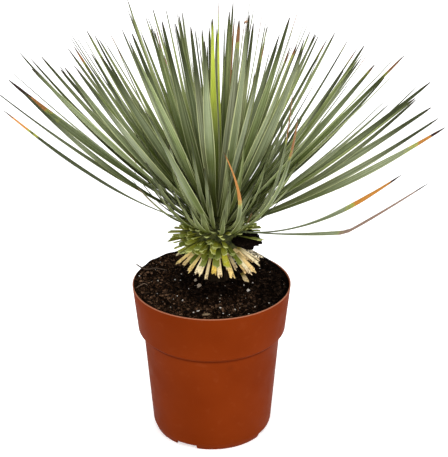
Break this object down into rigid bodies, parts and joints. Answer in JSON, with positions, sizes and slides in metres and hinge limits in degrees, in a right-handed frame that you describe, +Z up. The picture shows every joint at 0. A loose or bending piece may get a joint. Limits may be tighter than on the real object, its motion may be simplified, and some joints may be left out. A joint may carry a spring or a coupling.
{
  "type": "potted beaked yucca",
  "caption": "Beaked yucca: a dense round head of long stiff narrow leaves on a short stem ringed with cut leaf bases, growing in soil in a round collared nursery pot.",
  "frame": {"origin": "centre of the pot's underside, on the surface that it stands on", "axes": "+Z up, -Y to the front of the plant as pictured, +X to its right"},
  "size_m": [0.5878, 0.5936, 0.6076],
  "materials": {
    "pot_plastic": "terracotta coloured moulded plastic with a faint sheen",
    "potting_soil": "dark moist peat mix with perlite and bark",
    "dry_leaf_base": "dry straw coloured cut leaf bases, matte",
    "green_leaf_base": "fresh green cut leaf bases, satin",
    "leaf": "blue-green waxy leaf with fine lengthwise lines and pale margins"
  },
  "bodies": {
    "root": {"pot": "pot_plastic", "soil": "potting_soil", "soil_clod": "potting_soil", "trunk_dry_leaf_bases": "dry_leaf_base", "green_leaf_bases": "green_leaf_base", "leaf_crown": "leaf"}
  },
  "joints": []
}
